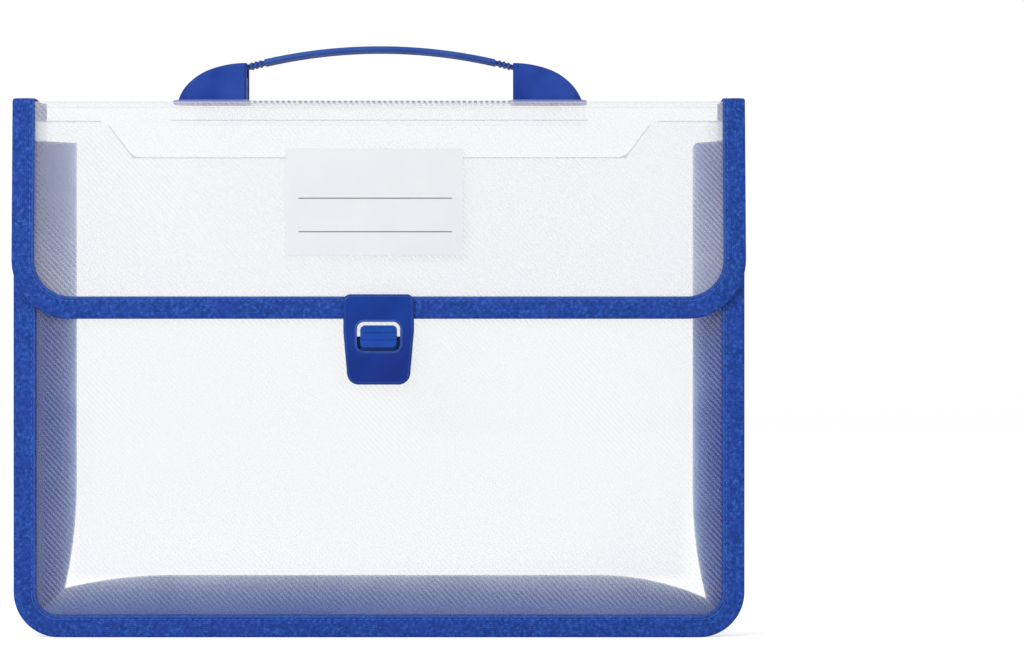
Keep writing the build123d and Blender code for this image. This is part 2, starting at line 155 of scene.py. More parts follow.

# The bellows film's depth from a seam to its fold, and its colours on the way: painted shade at the seams,
# painted light towards the fold
film_depth = 18.3 * mm
side_film_shading = (
    (0.0, (6, 46, 146)), (0.3, (22, 66, 156)), (0.55, (48, 84, 166)),
    (0.78, (82, 114, 186)), (0.92, (128, 154, 208)), (1.0, (160, 182, 222)),
)
bottom_film_shading = (
    (0.0, (40, 74, 158)), (0.3, (72, 101, 168)), (0.55, (100, 121, 178)),
    (0.78, (128, 145, 190)), (0.92, (158, 170, 204)), (1.0, (182, 192, 216)),
)

# The painted shade line on the stiffener's lip, above the lip's edge, where the edge bends light
lip_line_height = (0.2 * mm, 0.9 * mm)

# The handle's base: its tint beside a cap, its painted shade line at the foot below the cap, and that
# line's fading from the front
tint_start = (-4.0 * mm, 2.0 * mm)
foot_height = (-0.7 * mm, -0.4 * mm)
foot_fade = (3.0 * mm, 10.0 * mm)
block_foot = 0.05 * mm

# Ruled lines on the card, from its lower left corner
rule_start = 6.7 * mm
rule_length = 77.5 * mm
rule_heights = (12.0 * mm, 28.9 * mm)
rule_width = 0.6 * mm
rule_proud = 0.02 * mm

# The clasp's coil spring: the radius of its wire, its turns, and the steps and sides of its mesh
spring_wire = 0.18 * mm
spring_turns = 3
spring_steps = 20
spring_sides = 8

# Camera, with a pixel's size at the front sheet and the picture's width in pixels
pixel = 0.506 * mm
frame_width = 1024
camera_x = 67.3 * mm
camera_z = 158.6 * mm
camera_distance = 1.6
sensor = 36.0

# Light and stage
sky_light = 0.62
lamp_size = 1.2
stage_glow = 0.53
stage_half = 6.0
stage_front = -4.0
stage_back = 5.0
stage_top = 5.0
stage_bend = 1.6
stage_steps = 12

# Lamps: name, place, target and watts
lamps = (
    ("key", (-0.95, -1.2, 1.1), (0, 0, 0.14), 17.5),
    ("fill", (1.3, -1.2, 0.7), (0, 0, 0.15), 6.0),
)


def clear_scene():
    """Takes out the objects that a new file starts with."""
    for old in list(bpy.data.objects):
        bpy.data.objects.remove(old)


def shade(red, green, blue):
    """A colour written as display values from 0 to 255, as linear light."""
    linear = []
    for value in (red, green, blue):
        v = value / 255
        linear.append(v / 12.92 if v <= 0.04045 else ((v + 0.055) / 1.055) ** 2.4)
    return (*linear, 1.0)


class Graph:
    """The nodes of a material or a world, with short calls that add them and join them."""

    def __init__(self, name, world=False):
        store = bpy.data.worlds if world else bpy.data.materials
        self.owner = store.new(name)
        self.owner.use_nodes = True
        self.tree = self.owner.node_tree
        self.tree.nodes.clear()

    def add(self, kind, inputs=None, **settings):
        node = self.tree.nodes.new("ShaderNode" + kind)
        for key, value in settings.items():
            setattr(node, key, value)
        for key, value in (inputs or {}).items():
            if isinstance(value, bpy.types.NodeSocket):
                self.tree.links.new(value, node.inputs[key])
            else:
                node.inputs[key].default_value = value
        return node

    def math(self, operation, *values):
        return self.add("Math", dict(enumerate(values)), operation=operation).outputs[0]

    def ramp(self, value, low, high, to_low=0.0, to_high=1.0, smooth=True):
        """Maps low to to_low and high to to_high, and holds both beyond."""
        kind = "SMOOTHSTEP" if smooth else "LINEAR"
        inputs = {
            "Value": value, "From Min": low, "From Max": high, "To Min": to_low, "To Max": to_high,
        }
        return self.add("MapRange", inputs, interpolation_type=kind).outputs["Result"]

    def mix(self, share, first, second):
        """Blends two colours. The node's colour sockets come after its other ones."""
        inputs = {"Factor": share, 6: first, 7: second}
        return self.add("Mix", inputs, data_type="RGBA").outputs[2]

    def place(self):
        return self.add("TexCoord").outputs["Object"]

    def noise(self, vector, scale, detail=2.0, rough=0.5):
        inputs = {"Vector": vector, "Scale": scale, "Detail": detail, "Roughness": rough}
        return self.add("TexNoise", inputs).outputs["Fac"]

    def bump(self, height, distance, strength=1.0, normal=None):
        inputs = {"Height": height, "Distance": distance, "Strength": strength}
        if normal is not None:
            inputs["Normal"] = normal
        return self.add("Bump", inputs).outputs["Normal"]

    def wave(self, value, pitch):
        """A cosine wave from 0 to 1 along a value in metres."""
        turned = self.math("MULTIPLY", value, math.tau / pitch)
        swing = self.math("COSINE", turned)
        return self.math("MULTIPLY_ADD", swing, 0.5, 0.5)

    def split(self, vector):
        return self.add("SeparateXYZ", {0: vector}).outputs

    def seen(self):
        """1 where the camera looks, also through something clear."""
        path = self.add("LightPath").outputs
        return self.math("MAXIMUM", path["Is Camera Ray"], path["Is Transmission Ray"])

    def finish(self, surface, output="OutputMaterial"):
        self.add(output, {"Surface": surface})
        return self.owner


def diagonal_ribs(graph, place, axis, pitch=rib_pitch, slope=rib_slope, start=0.0):
    """The embossed ribs, which run down to the right across a sheet whose faces look along that axis."""
    x, y, z = graph.split(place)
    up = z if axis == "Y" else y
    across = graph.math("MULTIPLY_ADD", x, math.sin(slope), start)
    across = graph.math("MULTIPLY_ADD", up, math.cos(slope), across)
    wander = graph.noise(place, 60.0)
    across = graph.math("MULTIPLY_ADD", wander, rib_wander, across)
    return graph.wave(across, pitch)


def sheet_edge(graph, axis):
    """1 where the surface is a cut edge of the sheet, whose faces look along that axis."""
    normal = graph.split(graph.add("TexCoord").outputs["Normal"])["XYZ".index(axis)]
    return graph.ramp(graph.math("ABSOLUTE", normal), 0.4, 0.6, 1.0, 0.0)


def soft_shadow(graph, alpha):
    """An opacity that lets most light on its way to a lamp pass, as milky plastic does."""
    shadow = graph.add("LightPath").outputs["Is Shadow Ray"]
    kept = graph.math("MULTIPLY_ADD", shadow, -light_through_shadow, 1.0)
    return graph.math("MULTIPLY", alpha, kept)


def scoop_line(graph, place):
    """Painted shade line on the front sheet along its cut top, where the edge bends light: its shoulders
    and the scoop between them.
    """
    x, _, z = graph.split(place)
    run = scoop_shoulder_x - scoop_floor_x
    slant = math.hypot(run, scoop_depth)
    beyond = graph.math("SUBTRACT", graph.math("ABSOLUTE", x), scoop_shoulder_x)
    under = graph.math("SUBTRACT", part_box("front_panel")[1].z, z)
    outside = graph.math("MULTIPLY", beyond, scoop_depth / slant)
    outside = graph.math("MULTIPLY_ADD", under, run / slant, outside)
    from_scoop = graph.math("MAXIMUM", outside, graph.math("SUBTRACT", under, scoop_depth))
    nearest = graph.math("MINIMUM", from_scoop, under)
    return graph.ramp(nearest, *scoop_line_width, 1.0, 0.0)


def painted_grey_by_the_bellows(graph, place):
    """Painted shade: rises to 1 down the clear middle of the sheet, and ends at the bellows' folds."""
    x, _, z = graph.split(place)
    down = graph.ramp(z, *grey_z, smooth=False)
    above_fold = graph.ramp(z, *grey_foot_z)
    between = graph.ramp(graph.math("ABSOLUTE", x), *grey_x, 1.0, 0.0)
    return graph.math("MULTIPLY", down, graph.math("MULTIPLY", above_fold, between))


def pressed_flat(graph, place):
    """1 on the front sheet beside its left seam and above its lower one, where the ribs hardly show."""
    x, _, z = graph.split(place)
    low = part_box("front_panel")[0]
    side = graph.ramp(x, low.x + tape_width, low.x + tape_width + flat_side, 1.0, 0.0)
    foot = graph.ramp(z, low.z + tape_width, low.z + tape_width + flat_foot, 1.0, 0.0)
    return graph.math("MAXIMUM", side, foot)


def milky_corners(graph, place):
    """1 in a front sheet's upper corners, above the bellows and beside the tape."""
    x, _, z = graph.split(place)
    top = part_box("gusset_left")[1].z
    above = graph.ramp(z, top - milky_rise, top + milky_rise)
    beside = graph.ramp(graph.math("ABSOLUTE", x), *milky_x)
    return graph.math("MULTIPLY", above, beside)


def ribbed_sheet(
    name, axis, haze_range, ribbing=(), cover=edge_cover, line=None, calm=None, milky=None,
    milkiness=0.0, greying_shade=None,
):
    """Clear sheet with fine diagonal ribs: each face is a thin haze over what lies behind.

    The functions passed in say, in order, where a painted shade line runs, where the ribs fade, where
    the sheet turns milky by the given amount, and where painted shade greys what comes through it.
    """
    graph = Graph(name)
    place = graph.place()
    ribs = graph.math("POWER", diagonal_ribs(graph, place, axis, *ribbing), 2.0)
    if calm is not None:
        ribs = graph.mix(calm(graph, place), ribs, (flat_level, flat_level, flat_level, 1.0))
    cloud = graph.noise(place, 14.0, 3.0)
    haze = graph.ramp(ribs, 0.0, 1.0, *haze_range, smooth=False)
    haze = graph.math("MULTIPLY", haze, graph.ramp(cloud, 0.3, 0.7, 0.82, 1.18))
    if milky is not None:
        haze = graph.math("MULTIPLY_ADD", milky(graph, place), milkiness, haze)
    edge = sheet_edge(graph, axis)
    alpha = graph.math("MAXIMUM", haze, graph.math("MULTIPLY", edge, cover))
    body = graph.mix(ribs, shade(240, 241, 243), shade(245, 246, 248))
    colour = graph.mix(edge, body, shade(220, 224, 232))
    # A painted shade line where the line function is 1, in place of the cut edge bending light
    if line is not None:
        cut = line(graph, place)
        alpha = graph.math("MAXIMUM", alpha, graph.math("MULTIPLY", cut, line_cover))
        colour = graph.mix(cut, colour, shade(150, 156, 168))
    inputs = {
        "Base Color": colour,
        "Roughness": graph.ramp(graph.noise(place, 240.0), 0.3, 0.7, 0.34, 0.5),
        "IOR": film_ior,
        "Specular IOR Level": 0.3,
        "Normal": graph.bump(ribs, 0.04 * mm),
    }
    haze_side = graph.add("BsdfPrincipled", inputs).outputs[0]
    clear = shade(*sheet_tint)
    # Painted shade: a greyer clear colour where the function is 1
    if greying_shade is not None:
        clear = graph.mix(greying_shade(graph, place), clear, shade(*painted_shade_tint))
    clear_side = graph.add("BsdfTransparent", {"Color": clear}).outputs[0]
    cover_share = soft_shadow(graph, alpha)
    both = graph.add("MixShader", {0: cover_share, 1: clear_side, 2: haze_side}).outputs[0]
    return graph.finish(both)


def bellows_film(name, fold_y, shades):
    """Blue translucent film, with painted shade that deepens it at the seams and painted light that makes
    it milky towards the fold.
    """
    graph = Graph(name)
    place = graph.place()
    depth = graph.math("ABSOLUTE", graph.math("SUBTRACT", graph.split(place)[1], fold_y))
    # Painted shade at the seams, painted light towards the fold
    share = graph.ramp(depth, film_depth, 0.0, smooth=False)
    cloud = graph.noise(place, 30.0, 3.0)
    share = graph.math("ADD", share, graph.ramp(cloud, 0.3, 0.7, -0.05, 0.05))
    colours = graph.add("ValToRGB", {"Fac": share})
    stops = colours.color_ramp.elements
    stops[0].color = shade(*shades[0][1])
    stops[1].color = shade(*shades[-1][1])
    for at, tint in shades[1:-1]:
        stops.new(at).color = shade(*tint)
    alpha = graph.ramp(share, 0.0, 1.0, 0.74, 0.5)
    grain = graph.noise(place, 700.0)
    inputs = {
        "Base Color": colours.outputs["Color"],
        "Roughness": graph.ramp(cloud, 0.3, 0.7, 0.32, 0.45),
        "IOR": film_ior,
        "Specular IOR Level": 0.1,
        "Alpha": soft_shadow(graph, alpha),
        "Normal": graph.bump(grain, 0.02 * mm, 0.6),
    }
    return graph.finish(graph.add("BsdfPrincipled", inputs).outputs[0])


def woven_tape(name):
    """Grosgrain edging: fine crosswise threads between lengthwise rows, with a paler band by the hem."""
    graph = Graph(name)
    along, across, _ = graph.split(graph.add("UVMap", uv_map="weave").outputs[0])
    place = graph.place()
    row = graph.wave(across, row_pitch)
    row_number = graph.math("FLOOR", graph.math("DIVIDE", across, row_pitch))
    shift = graph.math("MULTIPLY", row_number, 0.5)
    thread_at = graph.math("MULTIPLY_ADD", shift, thread_pitch, along)
    thread = graph.wave(thread_at, thread_pitch)
    weave = graph.math("MULTIPLY", thread, graph.ramp(row, 0.0, 0.6, 0.45, 1.0))
    fibres = graph.noise(place, 2600.0, 2.0)
    slubs = graph.noise(place, 640.0, 3.0, 0.6)
    patches = graph.noise(place, 60.0, 3.0)
    colour = graph.mix(graph.ramp(weave, 0.1, 0.9), shade(17, 62, 145), shade(50, 98, 200))
    colour = graph.mix(graph.ramp(slubs, 0.35, 0.6, 0.7, 0.0), colour, shade(6, 42, 118))
    colour = graph.mix(graph.ramp(slubs, 0.55, 0.75, 0.0, 0.65), colour, shade(76, 122, 214))
    colour = graph.mix(graph.ramp(patches, 0.35, 0.75, 0.0, 0.4), colour, shade(38, 62, 166))
    colour = graph.mix(graph.ramp(fibres, 0.55, 0.8, 0.0, 0.35), colour, shade(88, 130, 214))
    from_selvage = graph.math("ABSOLUTE", graph.math("SUBTRACT", across, selvage_from_hem))
    selvage = graph.ramp(from_selvage, *selvage_band, 0.4, 0.0)
    colour = graph.mix(selvage, colour, shade(70, 108, 190))
    height = graph.math("MULTIPLY_ADD", fibres, 0.3, weave)
    height = graph.math("MULTIPLY_ADD", slubs, 0.8, height)
    inputs = {
        "Base Color": colour,
        "Roughness": graph.ramp(fibres, 0.3, 0.7, 0.66, 0.85),
        "Specular IOR Level": 0.2,
        "Sheen Weight": 0.08,
        "Sheen Roughness": 0.4,
        "Sheen Tint": shade(120, 150, 225),
        "Normal": graph.bump(height, 0.12 * mm),
    }
    return graph.finish(graph.add("BsdfPrincipled", inputs).outputs[0])


def twisted_thread(name):
    """Sewing thread with a visible twist."""
    graph = Graph(name)
    along, across, _ = graph.split(graph.add("UVMap", uv_map="weave").outputs[0])
    turn = graph.math("MULTIPLY_ADD", across, twist_pitch, along)
    ply = graph.wave(turn, twist_pitch)
    colour = graph.mix(ply, shade(44, 78, 160), shade(92, 124, 198))
    inputs = {
        "Base Color": colour,
        "Roughness": graph.ramp(ply, 0.0, 1.0, 0.6, 0.42),
        "Specular IOR Level": 0.3,
        "Normal": graph.bump(ply, 0.05 * mm),
    }
    return graph.finish(graph.add("BsdfPrincipled", inputs).outputs[0])


def moulded_shader(graph, deep, pale, edge, rough, round_edge, gloss=0.3, highlight_share=0.5):
    """Moulded plastic: soft colour drift, fine grain, rounded edges with a paler painted highlight."""
    place = graph.place()
    drift = graph.noise(place, 45.0, 3.0)
    smears = graph.noise(place, 420.0, 4.0, 0.65)
    colour = graph.mix(graph.ramp(drift, 0.3, 0.7), deep, pale)
    soft = graph.add("Bevel", {"Radius": round_edge}, samples=4).outputs[0]
    true = graph.add("NewGeometry").outputs["True Normal"]
    product = graph.add("VectorMath", {0: soft, 1: true}, operation="DOT_PRODUCT").outputs["Value"]
    # Painted highlight: the edge colour is mixed in where the rounded edge bends the normal
    bend = graph.ramp(product, 0.8, 0.995, 1.0, 0.0)
    colour = graph.mix(graph.math("MULTIPLY", bend, highlight_share), colour, edge)
    inputs = {
        "Base Color": colour,
        "Roughness": graph.ramp(smears, 0.3, 0.75, *rough),
        "IOR": moulded_ior,
        "Specular IOR Level": gloss,
        "Normal": graph.bump(smears, 0.01 * mm, 0.4, soft),
    }
    return graph.add("BsdfPrincipled", inputs).outputs[0]


def moulded(name, deep, pale, edge, rough=glossy, round_edge=0.5 * mm, gloss=0.3):
    """Moulded plastic in three colours: two that drift into each other and a painted highlight's on the
    rounded edges.
    """
    graph = Graph(name)
    tints = [shade(*tint) for tint in (deep, pale, edge)]
    return graph.finish(moulded_shader(graph, *tints, rough, round_edge, gloss))


def clasp_plastic(name):
    """Glossy plastic with painted paler highlights on its bevels, and painted shade that darkens it a
    little towards the clasp's lower end.
    """
    graph = Graph(name)
    low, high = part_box("clasp_plate")
    # Painted shade: the plate darkens towards its lower end
    height = graph.ramp(graph.split(graph.place())[2], low.z, high.z)
    deep = graph.mix(height, shade(0, 38, 122), shade(0, 46, 134))
    pale = graph.mix(height, shade(2, 48, 138), shade(10, 60, 152))
    # Painted highlight colour for the bevels
    edge = shade(92, 134, 222)
    return graph.finish(moulded_shader(graph, deep, pale, edge, glossy, 0.9 * mm, highlight_share=0.85))


def milky_plastic(name, haze, rim_haze, tint, line=None):
    """Clear moulded plastic that is slightly milky, more so where it is seen edge on."""
    graph = Graph(name)
    place = graph.place()
    cloud = graph.noise(place, 35.0, 2.0)
    rim = graph.add("LayerWeight", {"Blend": 0.25}).outputs["Facing"]
    alpha = graph.ramp(cloud, 0.3, 0.7, haze * 0.85, haze * 1.15)
    alpha = graph.math("MULTIPLY_ADD", rim, rim_haze, alpha)
    colour = graph.mix(cloud, tint, shade(246, 248, 251))
    # A painted shade line where the line function is 1
    if line is not None:
        cut = line(graph, place)
        alpha = graph.math("MAXIMUM", alpha, graph.math("MULTIPLY", cut, line_cover))
        colour = graph.mix(cut, colour, shade(146, 150, 160))
    inputs = {
        "Base Color": colour,
        "Roughness": graph.ramp(cloud, 0.3, 0.7, 0.18, 0.32),
        "IOR": film_ior,
        "Specular IOR Level": 0.3,
        "Alpha": soft_shadow(graph, alpha),
        "Normal": graph.bump(graph.noise(place, 300.0), 0.01 * mm),
    }
    return graph.finish(graph.add("BsdfPrincipled", inputs).outputs[0])


def lip_line(graph, place):
    """Painted shade line: 1 along the lower edge of the stiffener's front lip, and less along its rear one.
    """
    low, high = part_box("handle_stiffener")
    _, y, z = graph.split(place)
    edge = graph.ramp(graph.math("SUBTRACT", z, low.z), *lip_line_height, 1.0, 0.0)
    return graph.math("MULTIPLY", edge, graph.ramp(y, low.y, high.y, 1.0, 0.3))


def base_plastic(name):
    """The handle's base: a clear strip, tinted under the caps, with a broken line of painted shade at its
    foot, and blue blocks.
    """
    graph = Graph(name)
    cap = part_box("handle_cap_right")[0]
    place = graph.place()
    x, y, z = graph.split(place)
    from_cap = graph.math("SUBTRACT", graph.math("ABSOLUTE", x), cap.x)
    above_foot = graph.math("SUBTRACT", z, cap.z)
    from_front = graph.math("SUBTRACT", y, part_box("handle_base")[0].y)
    under_cap = graph.ramp(from_cap, *tint_start)
    # Painted shade line at the foot, broken at the front sheet's rib pitch
    dashes = graph.ramp(graph.wave(x, rib_pitch / math.sin(rib_slope)), 0.15, 0.6, 0.35, 1.0)
    foot = graph.ramp(above_foot, *foot_height, 1.0, 0.0)
    line = graph.math("MULTIPLY", foot, graph.ramp(from_front, *foot_fade, 1.0, 0.3))
    line = graph.math("MULTIPLY", line, dashes)
    cover = graph.math("MAXIMUM", line, graph.ramp(under_cap, 0.0, 1.0, 0.06, 0.7))
    tint = graph.mix(under_cap, shade(238, 240, 246), shade(140, 150, 214))
    foot_shade_painted = graph.mix(under_cap, shade(124, 128, 138), shade(118, 122, 190))
    inputs = {
        "Base Color": graph.mix(line, tint, foot_shade_painted),
        "Roughness": graph.ramp(graph.noise(place, 300.0), 0.3, 0.7, 0.18, 0.32),
        "IOR": film_ior,
        "Specular IOR Level": 0.2,
        "Alpha": soft_shadow(graph, cover),
    }
    strip = graph.add("BsdfPrincipled", inputs).outputs[0]
    tints = [shade(22, 48, 138), shade(34, 64, 152), shade(70, 104, 190)]
    blocks = moulded_shader(graph, *tints, satin, 0.3 * mm, 0.12)
    in_block = graph.math("GREATER_THAN", above_foot, block_foot)
    return graph.finish(graph.add("MixShader", {0: in_block, 1: strip, 2: blocks}).outputs[0])


def paper(name):
    """Matt card with short fibres."""
    graph = Graph(name)
    place = graph.place()
    fibres = graph.noise(place, 1300.0, 4.0, 0.7)
    mottle = graph.noise(place, 60.0, 2.0)
    pale = graph.ramp(fibres, 0.35, 0.7, 0.0, 0.6)
    colour = graph.mix(pale, shade(226, 228, 229), shade(236, 238, 238))
    colour = graph.mix(graph.ramp(mottle, 0.3, 0.7, 0.0, 0.3), colour, shade(220, 224, 225))
    inputs = {
        "Base Color": colour,
        "Roughness": graph.ramp(fibres, 0.3, 0.7, 0.8, 0.95),
        "Normal": graph.bump(fibres, 0.03 * mm, 0.5),
    }
    return graph.finish(graph.add("BsdfPrincipled", inputs).outputs[0])


def printed_ink(name):
    """Grey ink with small gaps where the paper shows."""
    graph = Graph(name)
    place = graph.place()
    gaps = graph.noise(place, 2200.0, 3.0)
    paler = graph.ramp(gaps, 0.5, 0.8, 0.0, 0.5)
    colour = graph.mix(paler, shade(96, 98, 100), shade(176, 178, 180))
    inputs = {"Base Color": colour, "Roughness": graph.ramp(gaps, 0.3, 0.7, 0.6, 0.85)}
    return graph.finish(graph.add("BsdfPrincipled", inputs).outputs[0])


def drawn_steel(name):
    """Plated steel with fine draw marks."""
    graph = Graph(name)
    place = graph.place()
    drawn = graph.add("Mapping", {"Vector": place, "Scale": (1, 1, 0.1)}).outputs[0]
    marks = graph.noise(drawn, 2500.0, 3.0)
    colour = graph.mix(marks, shade(176, 178, 182), shade(214, 216, 220))
    inputs = {
        "Base Color": colour,
        "Metallic": 1.0,
        "Roughness": graph.ramp(marks, 0.3, 0.7, 0.2, 0.38),
        "Normal": graph.bump(marks, 0.01 * mm, 0.5),
    }
    return graph.finish(graph.add("BsdfPrincipled", inputs).outputs[0])


def new_object(name, points, faces, material, smooth=True, uvs=None):
    """A mesh object. The uvs, one for each corner of each face, run along and across its weave."""
    mesh = bpy.data.meshes.new(name)
    mesh.from_pydata(points, [], faces)
    mesh.validate()
    for polygon in mesh.polygons:
        polygon.use_smooth = smooth
    mesh.materials.append(material)
    if uvs:
        layer = mesh.uv_layers.new(name="weave")
        for loop, uv in zip(layer.data, uvs):
            loop.uv = uv
    made = bpy.data.objects.new(name, mesh)
    bpy.context.scene.collection.objects.link(made)
    return made


def rounded_route(corners, radius):
    """Points (x, z) and inward directions along an open outline whose inner corners are round."""
    corners = [Vector(corner) for corner in corners]
    route = []

    def run(start, end, inward):
        count = max(1, round((end - start).length / tape_step))
        for i in range(count):
            route.append((start.lerp(end, i / count), inward))

    start = corners[0]
    for before, corner, after in zip(corners, corners[1:], corners[2:]):
        come = (corner - before).normalized()
        leave = (after - corner).normalized()
        turn = come.angle(leave)
        back = radius * math.tan(turn / 2)
        inward = Vector((-come.y, come.x))
        arc_start = corner - come * back
        run(start, arc_start, inward)
        centre = arc_start + inward * radius
        count = max(corner_steps, round(radius * turn / tape_step))
        for i in range(count):
            angle = turn * i / count
            spoke = Vector((
                -inward.x * math.cos(angle) + inward.y * math.sin(angle),
                -inward.x * math.sin(angle) - inward.y * math.cos(angle),
            ))
            route.append((centre + spoke * radius, -spoke))
        start = corner + leave * back
    last = (corners[-1] - start).normalized()
    inward = Vector((-last.y, last.x))
    run(start, corners[-1], inward)
    route.append((corners[-1], inward))
    return route


def upright_frames(route, y, side, half):
    """Frames (edge point, inward, outward, half thickness) for a tape in a plane of X and Z."""
    return [
        (Vector((p.x, y, p.y)), Vector((n.x, 0, n.y)), Vector((0, side, 0)), half)
        for p, n in route
    ]


def over_the_crease(edge_x, lid_point, panel_point, lid_end_y, half, panel_half):
    """Frames from the lid, over a crease, to the top of a panel's tape."""
    inward = Vector((-math.copysign(1, edge_x), 0, 0))
    frames = []
    lid_y, lid_z = lid_point
    panel_y, panel_z = panel_point
    side = math.copysign(1, panel_y - lid_y)
    count = max(1, round(abs(lid_y - lid_end_y) / tape_step))
    for i in range(count):
        y = lid_end_y + (lid_y - lid_end_y) * i / count
        rise = crease_lift * math.sin(math.pi / 2 * i / count) ** 2
        frames.append((Vector((edge_x, y, lid_z + rise)), inward, Vector((0, 0, 1)), half))
    for i in range(crease_steps):
        angle = math.pi / 2 * i / crease_steps
        y = lid_y + (panel_y - lid_y) * math.sin(angle)
        z = panel_z + (lid_z + crease_lift - panel_z) * math.cos(angle)
        outward = Vector((0, side * math.sin(angle), math.cos(angle)))
        share = i / crease_steps
        frames.append((Vector((edge_x, y, z)), inward, outward, half + (panel_half - half) * share))
    return frames


def tape_section(half, puckered):
    """The folded tape's outline, as (distance from its outer edge, height above the middle)."""
    groove = groove_height + (pucker if puckered else 0)
    # One leg from its hem to the fold, as heights above the sheets
    leg = [
        (tape_width, 0.08 * mm),
        (tape_width + 0.02 * mm, 0.30 * mm),
        (tape_width - 0.15 * mm, 0.50 * mm),
        (tape_width - 0.60 * mm, 0.60 * mm),
        (tape_width - 1.20 * mm, 0.60 * mm),
        (stitch_from_edge + 0.40 * mm, 0.56 * mm),
        (stitch_from_edge, groove),
        (stitch_from_edge - 0.40 * mm, 0.56 * mm),
        (stitch_from_edge - 1.05 * mm, 0.62 * mm),
        (6.8 * mm, 0.66 * mm),
        (5.0 * mm, 0.68 * mm),
        (3.2 * mm, 0.67 * mm),
        (1.6 * mm, 0.62 * mm),
        (0.75 * mm, 0.50 * mm),
        (0.30 * mm, 0.26 * mm),
    ]
    shown = [(n, half + a) for n, a in leg]
    hidden = [(n, -half - a) for n, a in reversed(leg)]
    bend = [(0.05 * mm, half * 0.6), (0.0, 0.0), (0.05 * mm, -half * 0.6)]
    inside = half + tape_clear
    fold = tape_body - tape_clear
    inner = [
        (tape_width - 0.1 * mm, -inside),
        (6.0 * mm, -inside),
        (fold, -inside),
        (fold, inside),
        (6.0 * mm, inside),
        (tape_width - 0.1 * mm, inside),
    ]
    return shown + bend + hidden + inner


def distances(frames):
    """How far along the tape each frame lies."""
    travelled = [0.0]
    for before, after in zip(frames, frames[1:]):
        travelled.append(travelled[-1] + (after[0] - before[0]).length)
    return travelled


def make_tape(name, frames, material):
    """A tape folded over the sheets' edges and swept along frames, with its weave laid along it."""
    travelled = distances(frames)
    widths = [0.0]
    flat = tape_section(sheet_half, False)
    for (n0, a0), (n1, a1) in zip(flat, flat[1:] + flat[:1]):
        widths.append(widths[-1] + math.hypot(n1 - n0, a1 - a0))
    points, faces, uvs = [], [], []
    for i, (edge, inward, outward, half) in enumerate(frames):
        for n, a in tape_section(half, i % 2 == 1):
            points.append(edge + inward * n + outward * a)
    count = len(flat)
    for i in range(len(frames) - 1):
        for j in range(count):
            k = (j + 1) % count
            faces.append((i * count + j, i * count + k, (i + 1) * count + k, (i + 1) * count + j))
            uvs += [
                (travelled[i], widths[j]), (travelled[i], widths[j + 1]),
                (travelled[i + 1], widths[j + 1]), (travelled[i + 1], widths[j]),
            ]
    last = (len(frames) - 1) * count
    for start, order in ((0, range(count - 1, -1, -1)), (last, range(count))):
        faces.append(tuple(start + j for j in order))
        uvs += [(travelled[start // count] + widths[j], widths[j]) for j in order]
    tape = new_object(name, points, faces, material, uvs=uvs)
    for polygon in tape.data.polygons[-2:]:
        polygon.use_smooth = False
    return tape


def make_stitches(name, frames, material, chance):
    """Short slanted threads, half sunk in the tape's groove, on both of its legs."""
    points, faces, uvs = [], [], []
    travelled = distances(frames)
    rings, sides = stitch_rings, stitch_sides

    def frame_at(distance):
        i = max(k for k, t in enumerate(travelled[:-1]) if t <= distance)
        share = (distance - travelled[i]) / max(travelled[i + 1] - travelled[i], 1e-9)
        before, after = frames[i], frames[i + 1]
        mixed = [first.lerp(second, share) for first, second in zip(before[:3], after[:3])]
        half = before[3] + (after[3] - before[3]) * share
        ahead = (after[0] - before[0]).normalized()
        return (*mixed, half, ahead)

    count = int(travelled[-1] / stitch_pitch)
    for number in range(count):
        edge, inward, outward, half, ahead = frame_at((number + 0.5) * stitch_pitch)
        inward.normalize()
        outward.normalize()
        for face in (1, -1):
            centre = edge + inward * stitch_from_edge + outward * face * (half + stitch_rise)
            slant = stitch_slant * face + chance.uniform(-stitch_wander, stitch_wander)
            along = (ahead * math.cos(slant) + inward * math.sin(slant)).normalized()
            cross = outward.cross(along).normalized()
            base = len(points)
            for i in range(rings):
                t = -1 + 2 * (i + 0.5) / rings
                sag = outward * face * (t * t * stitch_sag)
                middle = centre + along * (t * stitch_length / 2) - sag
                radius = stitch_radius * (1 - stitch_taper * abs(t) ** 3)
                for j in range(sides):
                    angle = math.tau * j / sides
                    spoke = cross * math.cos(angle) + outward * math.sin(angle)
                    points.append(middle + spoke * radius)
            for i in range(rings - 1):
                for j in range(sides):
                    k = (j + 1) % sides
                    row, up = base + i * sides, base + (i + 1) * sides
                    faces.append((row + j, row + k, up + k, up + j))
                    near, far = i * stitch_length / rings, (i + 1) * stitch_length / rings
                    left, right = j / sides, (j + 1) / sides
                    uvs += [(near, left), (near, right), (far, right), (far, left)]
            faces.append(tuple(base + j for j in range(sides - 1, -1, -1)))
            faces.append(tuple(base + (rings - 1) * sides + j for j in range(sides)))
            uvs += [(0.0, 0.0)] * (2 * sides)
    return new_object(name, points, faces, material, uvs=uvs)


def panel_route(low, high):
    """The outline of a body panel's tape, down the left side and up the right."""
    corners = [(low.x, high.z), (low.x, low.z), (high.x, low.z), (high.x, high.z)]
    return rounded_route(corners, body_corner)


def make_front_tape(materials, chance):
    """The tape round the front panel, which stands still."""
    low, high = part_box("front_binding")
    middle = (low.y + high.y) / 2
    frames = upright_frames(panel_route(low, high), middle, -1, stack_half)
    tape = make_tape("front_tape", frames, materials["tape"])
    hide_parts("front_binding")
    stitches = make_stitches("front_stitches", frames, materials["thread"], chance)
    for piece in (tape, stitches):
        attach(piece, "case")


def both_creases(upright, left_part):
    """Adds the lid's stretch before an upright tape's frames, and its mirror image after them."""
    right_part = [
        (Vector((-p.x, p.y, p.z)), Vector((-n.x, n.y, n.z)), outward, half)
        for p, n, outward, half in reversed(left_part)
    ]
    return left_part + upright + right_part


